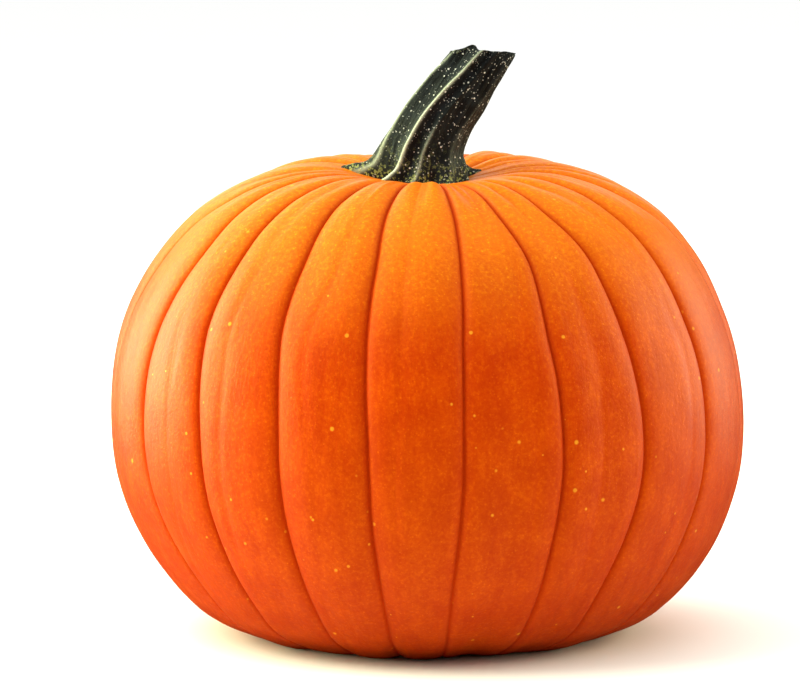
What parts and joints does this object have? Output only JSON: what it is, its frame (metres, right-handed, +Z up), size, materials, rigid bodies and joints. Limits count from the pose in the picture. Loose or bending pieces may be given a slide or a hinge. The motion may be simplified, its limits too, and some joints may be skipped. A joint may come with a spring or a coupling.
{
  "type": "pumpkin",
  "caption": "Ribbed orange pumpkin as picked, wider than tall, with a ridged dark green cut stem leaning to one side, resting on a small flat spot",
  "frame": {"origin": "middle of the pumpkin's outline seen from above, on the surface that it rests on", "axes": "+Z up along the fruit's axis; the pictured side faces -Y; the stem leans towards +X"},
  "size_m": [0.2704, 0.269, 0.2539],
  "materials": {
    "pumpkin_skin": "satin orange skin with fine pale pores",
    "stem_rind": "rough dark green rind with pale specks, corky where cut"
  },
  "bodies": {
    "root": {"fruit": "pumpkin_skin", "stem": "stem_rind"}
  },
  "joints": []
}
